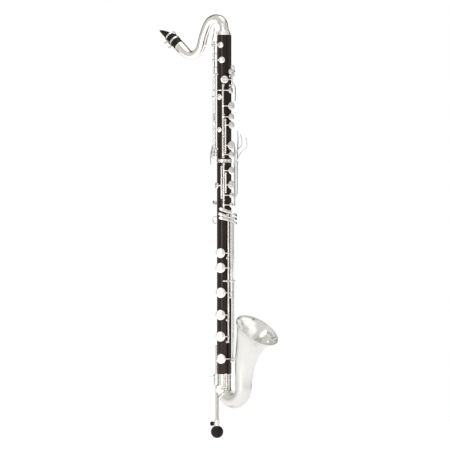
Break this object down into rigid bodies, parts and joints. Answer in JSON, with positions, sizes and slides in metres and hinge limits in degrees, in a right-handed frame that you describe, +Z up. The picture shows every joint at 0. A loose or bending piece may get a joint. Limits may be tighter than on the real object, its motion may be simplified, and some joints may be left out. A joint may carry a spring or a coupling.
{
  "type": "bass clarinet",
  "caption": "Low-C bass clarinet with a curved metal neck, a two-joint wooden body with hinged keys, a metal bow and upturned bell, and a sliding floor peg.",
  "frame": {"origin": "the flat spot under the floor peg's rubber ball", "axes": "+Z up along the body, +X the side the bell faces, +Y the player's left"},
  "size_m": [0.4103, 0.1244, 1.1232],
  "materials": {
    "silver_plate": "polished silver plating",
    "satin_silver": "satin silver plating",
    "grenadilla": "oiled dark hardwood",
    "ebonite": "polished hard rubber",
    "cane": "scraped cane",
    "cork": "greased cork",
    "rubber": "matte"
  },
  "bodies": {
    "root": {"upper_joint": "grenadilla", "lower_joint": "grenadilla", "joint_ring": "silver_plate", "tenon_cork": "cork", "bow_cork": "cork", "neck_cork": "cork", "neck_socket": "silver_plate", "bow": "silver_plate", "bell": "satin_silver", "bow_ring": "silver_plate", "peg_holder": "silver_plate", "thumb_rest": "silver_plate", "strap_ring": "silver_plate", "left_rods": "silver_plate", "upper_stack_rods": "silver_plate", "lower_stack_rods": "silver_plate", "low_rods": "silver_plate", "throat_rods": "silver_plate", "bow_rod": "silver_plate", "left_hand_rod": "silver_plate"},
    "register_key": {"register_key": "silver_plate"},
    "vent_key": {"vent_key": "silver_plate"},
    "upper_side_key": {"upper_side_key": "silver_plate"},
    "lower_side_key": {"lower_side_key": "silver_plate"},
    "trill_key": {"trill_key": "silver_plate"},
    "throat_key": {"throat_key": "silver_plate"},
    "thumb_hole_key": {"thumb_hole_key": "silver_plate"},
    "first_finger_key": {"first_finger_key": "silver_plate"},
    "second_finger_key": {"second_finger_key": "silver_plate"},
    "third_finger_key": {"third_finger_key": "silver_plate"},
    "bridge_key": {"bridge_key": "silver_plate"},
    "joint_key": {"joint_key": "silver_plate"},
    "fourth_finger_key": {"fourth_finger_key": "silver_plate"},
    "fifth_finger_key": {"fifth_finger_key": "silver_plate"},
    "sixth_finger_key": {"sixth_finger_key": "silver_plate"},
    "small_resonance_key": {"small_resonance_key": "silver_plate"},
    "side_cup_key": {"side_cup_key": "silver_plate"},
    "low_e_key": {"low_e_key": "silver_plate"},
    "low_e_flat_key": {"low_e_flat_key": "silver_plate"},
    "low_d_key": {"low_d_key": "silver_plate"},
    "low_d_vent_key": {"low_d_vent_key": "silver_plate"},
    "low_c_sharp_key": {"low_c_sharp_key": "silver_plate"},
    "low_lever": {"low_lever": "silver_plate"},
    "low_c_key": {"low_c_key": "silver_plate"},
    "bow_key": {"bow_key": "silver_plate"},
    "left_lever_upper": {"left_lever_upper": "silver_plate"},
    "left_lever_middle": {"left_lever_middle": "silver_plate"},
    "left_lever_lower": {"left_lever_lower": "silver_plate"},
    "neck": {"neck": "silver_plate"},
    "mouthpiece": {"mouthpiece": "ebonite", "reed": "cane", "ligature": "silver_plate"},
    "ligature_screw_1": {"ligature_screw_1": "silver_plate"},
    "ligature_screw_2": {"ligature_screw_2": "silver_plate"},
    "neck_clamp_screw": {"neck_clamp_screw": "silver_plate"},
    "peg_clamp_screw": {"peg_clamp_screw": "silver_plate"},
    "peg": {"peg_rod": "silver_plate", "foot_collar": "silver_plate", "foot_ball": "rubber"},
    "foot_screw": {"foot_screw": "rubber"}
  },
  "joints": [
    {"name": "register_key_hinge", "type": "hinge", "parent": "root", "child": "register_key", "pos_m": [0.00366, -0.01606, 0.8985], "axis": [0, 0, 1], "range_deg": [-5.93, 0], "stiffness_Nm_per_rad": 0.06, "springref_deg": 6.88},
    {"name": "vent_key_hinge", "type": "hinge", "parent": "root", "child": "vent_key", "pos_m": [0.00936, -0.02206, 0.9995], "axis": [0, 0, 1], "range_deg": [-6.22, 0], "stiffness_Nm_per_rad": 0.06, "springref_deg": 6.88},
    {"name": "upper_side_key_hinge", "type": "hinge", "parent": "root", "child": "upper_side_key", "pos_m": [0.00936, -0.02206, 0.868], "axis": [0, 0, 1], "range_deg": [-7.71, 0], "stiffness_Nm_per_rad": 0.06, "springref_deg": 6.88},
    {"name": "lower_side_key_hinge", "type": "hinge", "parent": "root", "child": "lower_side_key", "pos_m": [0.0163, -0.0255, 0.796], "axis": [0, 0, 1], "range_deg": [-11.01, 0], "stiffness_Nm_per_rad": 0.06, "springref_deg": 6.88},
    {"name": "trill_key_hinge", "type": "hinge", "parent": "root", "child": "trill_key", "pos_m": [0.0163, -0.0255, 0.893], "axis": [0, 0, 1], "range_deg": [-6.55, 0], "stiffness_Nm_per_rad": 0.06, "springref_deg": 6.88},
    {"name": "throat_key_hinge", "type": "hinge", "parent": "root", "child": "throat_key", "pos_m": [0.0535, 0.00235, 0.9465], "axis": [0, 0, 1], "range_deg": [0, 8.12], "stiffness_Nm_per_rad": 0.06, "springref_deg": -6.88},
    {"name": "thumb_hole_key_hinge", "type": "hinge", "parent": "root", "child": "thumb_hole_key", "pos_m": [0.04955, 0.01325, 0.973], "axis": [0, 0, 1], "range_deg": [-11.91, 0], "stiffness_Nm_per_rad": 0.06, "springref_deg": 6.88},
    {"name": "first_finger_key_hinge", "type": "hinge", "parent": "root", "child": "first_finger_key", "pos_m": [0.04292, -0.02088, 0.896], "axis": [0, 0, 1], "range_deg": [0, 7.73], "stiffness_Nm_per_rad": 0.06, "springref_deg": -6.88},
    {"name": "second_finger_key_hinge", "type": "hinge", "parent": "root", "child": "second_finger_key", "pos_m": [0.04292, -0.02088, 0.828], "axis": [0, 0, 1], "range_deg": [0, 7.73], "stiffness_Nm_per_rad": 0.06, "springref_deg": -6.88},
    {"name": "third_finger_key_hinge", "type": "hinge", "parent": "root", "child": "third_finger_key", "pos_m": [0.04748, -0.01631, 0.8215], "axis": [0, 0, 1], "range_deg": [0, 9.51], "stiffness_Nm_per_rad": 0.06, "springref_deg": -6.88},
    {"name": "bridge_key_hinge", "type": "hinge", "parent": "root", "child": "bridge_key", "pos_m": [0.04748, -0.01631, 0.7785], "axis": [0, 0, 1], "range_deg": [0, 9.51], "stiffness_Nm_per_rad": 0.06, "springref_deg": -6.88},
    {"name": "joint_key_hinge", "type": "hinge", "parent": "root", "child": "joint_key", "pos_m": [0.04292, -0.02088, 0.772], "axis": [0, 0, 1], "range_deg": [0, 7.73], "stiffness_Nm_per_rad": 0.06, "springref_deg": -6.88},
    {"name": "fourth_finger_key_hinge", "type": "hinge", "parent": "root", "child": "fourth_finger_key", "pos_m": [0.04433, -0.01969, 0.708], "axis": [0, 0, 1], "range_deg": [0, 8.12], "stiffness_Nm_per_rad": 0.06, "springref_deg": -6.88},
    {"name": "fifth_finger_key_hinge", "type": "hinge", "parent": "root", "child": "fifth_finger_key", "pos_m": [0.04804, -0.01558, 0.6765], "axis": [0, 0, 1], "range_deg": [0, 9.89], "stiffness_Nm_per_rad": 0.06, "springref_deg": -6.88},
    {"name": "sixth_finger_key_hinge", "type": "hinge", "parent": "root", "child": "sixth_finger_key", "pos_m": [0.04433, -0.01969, 0.6605], "axis": [0, 0, 1], "range_deg": [0, 8.12], "stiffness_Nm_per_rad": 0.06, "springref_deg": -6.88},
    {"name": "small_resonance_key_hinge", "type": "hinge", "parent": "root", "child": "small_resonance_key", "pos_m": [0.04433, -0.01969, 0.6175], "axis": [0, 0, 1], "range_deg": [0, 8.12], "stiffness_Nm_per_rad": 0.06, "springref_deg": -6.88},
    {"name": "side_cup_key_hinge", "type": "hinge", "parent": "root", "child": "side_cup_key", "pos_m": [0.03945, -0.02318, 0.6775], "axis": [0, 0, 1], "range_deg": [0, 8.71], "stiffness_Nm_per_rad": 0.06, "springref_deg": -6.88},
    {"name": "low_e_key_hinge", "type": "hinge", "parent": "root", "child": "low_e_key", "pos_m": [0.0515, -0.00906, 0.534], "axis": [0, 0, 1], "range_deg": [-8.47, 0], "stiffness_Nm_per_rad": 0.06, "springref_deg": 6.88},
    {"name": "low_e_flat_key_hinge", "type": "hinge", "parent": "root", "child": "low_e_flat_key", "pos_m": [0.0515, -0.00906, 0.4465], "axis": [0, 0, 1], "range_deg": [-8.47, 0], "stiffness_Nm_per_rad": 0.06, "springref_deg": 6.88},
    {"name": "low_d_key_hinge", "type": "hinge", "parent": "root", "child": "low_d_key", "pos_m": [0.05308, -0.00093, 0.487], "axis": [0, 0, 1], "range_deg": [-7, 0], "stiffness_Nm_per_rad": 0.06, "springref_deg": 6.88},
    {"name": "low_d_vent_key_hinge", "type": "hinge", "parent": "root", "child": "low_d_vent_key", "pos_m": [0.0515, -0.00906, 0.3645], "axis": [0, 0, 1], "range_deg": [-8.47, 0], "stiffness_Nm_per_rad": 0.06, "springref_deg": 6.88},
    {"name": "low_c_sharp_key_hinge", "type": "hinge", "parent": "root", "child": "low_c_sharp_key", "pos_m": [0.0515, -0.00906, 0.284], "axis": [0, 0, 1], "range_deg": [-8.47, 0], "stiffness_Nm_per_rad": 0.06, "springref_deg": 6.88},
    {"name": "low_lever_hinge", "type": "hinge", "parent": "root", "child": "low_lever", "pos_m": [0.0515, 0.00906, 0.5], "axis": [0, 0, 1], "range_deg": [-6.49, 0], "stiffness_Nm_per_rad": 0.06, "springref_deg": 6.88},
    {"name": "low_c_key_hinge", "type": "hinge", "parent": "root", "child": "low_c_key", "pos_m": [0.0515, 0.00906, 0.31], "axis": [0, 0, 1], "range_deg": [-6.49, 0], "stiffness_Nm_per_rad": 0.06, "springref_deg": 6.88},
    {"name": "bow_key_hinge", "type": "hinge", "parent": "root", "child": "bow_key", "pos_m": [0.05035, -0.01484, 0.14875], "axis": [0, 0, 1], "range_deg": [-9.97, 0], "stiffness_Nm_per_rad": 0.06, "springref_deg": 6.88},
    {"name": "left_lever_upper_hinge", "type": "hinge", "parent": "root", "child": "left_lever_upper", "pos_m": [0.04197, 0.02459, 0.754], "axis": [0, 0, 1], "range_deg": [-8.47, 0], "stiffness_Nm_per_rad": 0.06, "springref_deg": 6.88},
    {"name": "left_lever_middle_hinge", "type": "hinge", "parent": "root", "child": "left_lever_middle", "pos_m": [0.04197, 0.02459, 0.7205], "axis": [0, 0, 1], "range_deg": [-8.47, 0], "stiffness_Nm_per_rad": 0.06, "springref_deg": 6.88},
    {"name": "left_lever_lower_hinge", "type": "hinge", "parent": "root", "child": "left_lever_lower", "pos_m": [0.04197, 0.02459, 0.6595], "axis": [0, 0, 1], "range_deg": [-7, 0], "stiffness_Nm_per_rad": 0.06, "springref_deg": 6.88},
    {"name": "neck_turn", "type": "hinge", "parent": "root", "child": "neck", "pos_m": [0.0266, 0, 1.068], "axis": [0, 0, 1], "continuous": true},
    {"name": "mouthpiece_turn", "type": "hinge", "parent": "neck", "child": "mouthpiece", "pos_m": [-0.14, 0, 1.0396], "axis": [-0.7934, 0, 0.6088], "continuous": true},
    {"name": "ligature_screw_1_turn", "type": "hinge", "parent": "mouthpiece", "child": "ligature_screw_1", "pos_m": [-0.17045, 0, 1.03687], "axis": [0, 1, 0], "continuous": true},
    {"name": "ligature_screw_2_turn", "type": "hinge", "parent": "mouthpiece", "child": "ligature_screw_2", "pos_m": [-0.18632, 0, 1.04905], "axis": [0, 1, 0], "continuous": true},
    {"name": "neck_clamp_screw_turn", "type": "hinge", "parent": "root", "child": "neck_clamp_screw", "pos_m": [0.0106, 0, 1.0735], "axis": [-1, 0, 0], "continuous": true},
    {"name": "peg_slide", "type": "slide", "parent": "root", "child": "peg", "axis": [0, 0, -1], "range_m": [-0.03, 0.07]},
    {"name": "peg_clamp_screw_turn", "type": "hinge", "parent": "root", "child": "peg_clamp_screw", "pos_m": [-0.006, 0, 0.163], "axis": [-1, 0, 0], "continuous": true},
    {"name": "foot_screw_turn", "type": "hinge", "parent": "peg", "child": "foot_screw", "pos_m": [-0.006, 0, 0.0375], "axis": [-1, 0, 0], "continuous": true}
  ],
  "couplings": [
    {"joint": "low_lever_hinge", "follows": "low_c_key_hinge", "ratio": 0.9995},
    {"joint": "low_c_sharp_key_hinge", "follows": "low_c_key_hinge", "ratio": 1.3048},
    {"joint": "bow_key_hinge", "follows": "low_c_key_hinge", "ratio": 1.5365},
    {"joint": "left_lever_upper_hinge", "follows": "low_e_key_hinge", "ratio": 0.9995},
    {"joint": "left_lever_middle_hinge", "follows": "low_e_flat_key_hinge", "ratio": 0.9995},
    {"joint": "left_lever_lower_hinge", "follows": "low_d_key_hinge", "ratio": 0.9995},
    {"joint": "low_d_vent_key_hinge", "follows": "low_d_key_hinge", "ratio": 1.2098},
    {"joint": "vent_key_hinge", "follows": "register_key_hinge", "ratio": 1.0488},
    {"joint": "joint_key_hinge", "follows": "bridge_key_hinge", "ratio": 0.81278}
  ]
}
